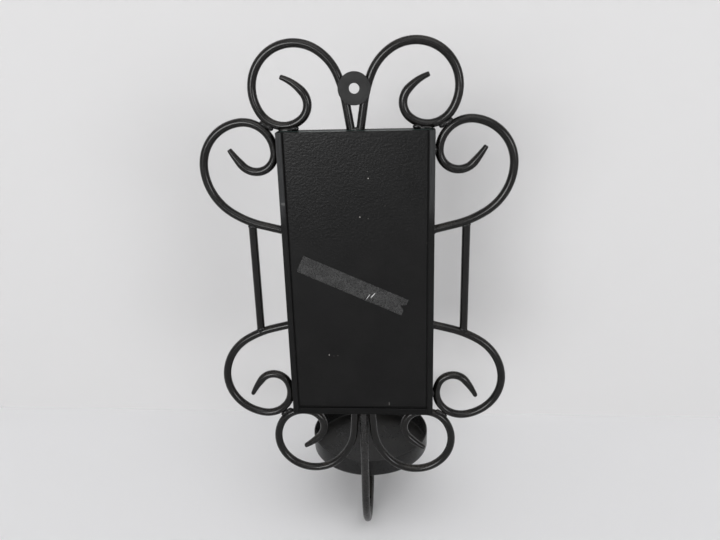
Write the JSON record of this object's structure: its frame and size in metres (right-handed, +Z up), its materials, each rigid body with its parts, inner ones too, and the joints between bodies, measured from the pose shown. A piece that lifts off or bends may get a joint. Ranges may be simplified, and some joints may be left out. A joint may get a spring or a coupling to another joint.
{
  "type": "wall candle holder",
  "caption": "Wall candle holder: mirror in a slim steel frame with welded scrolls round it, a hanger disc, and a J-shaped arm under it that carries a shallow candle pan.",
  "frame": {"origin": "centre of the hanger hole, on the back face of the hanger disc", "axes": "+Z up, -Y towards the room, +Y towards the wall, +X to the right as seen from the room"},
  "size_m": [0.2226, 0.148, 0.4093],
  "materials": {
    "rod_paint": "satin black paint",
    "frame_paint": "satin black paint",
    "disc_paint": "matt black paint",
    "cup_paint": "satin black paint",
    "board": "thin fibre board with a fine black leather grain",
    "mirror_glass": "silvered plain glass",
    "tape": "clear tape, clouded, with bubbles"
  },
  "bodies": {
    "root": {"top_scroll_left": "rod_paint", "top_scroll_right": "rod_paint", "upper_side_scroll_left": "rod_paint", "upper_side_scroll_right": "rod_paint", "lower_side_scroll_left": "rod_paint", "lower_side_scroll_right": "rod_paint", "bottom_scroll_left": "rod_paint", "bottom_scroll_right": "rod_paint", "side_bar_left": "rod_paint", "side_bar_right": "rod_paint", "cup_arm": "rod_paint", "weld_beads_top": "rod_paint", "weld_beads_bottom": "rod_paint", "weld_beads_side_left": "rod_paint", "weld_beads_side_right": "rod_paint", "weld_beads_disc": "rod_paint", "weld_bead_cup": "rod_paint", "frame_bar_top": "frame_paint", "frame_bar_bottom": "frame_paint", "frame_bar_left": "frame_paint", "frame_bar_right": "frame_paint", "retaining_angle_left": "frame_paint", "retaining_angle_right": "frame_paint", "retaining_angle_bottom": "frame_paint", "hanger_disc": "disc_paint", "candle_cup": "cup_paint", "backing_board": "board", "mirror": "mirror_glass", "tape_strip": "tape"}
  },
  "joints": []
}
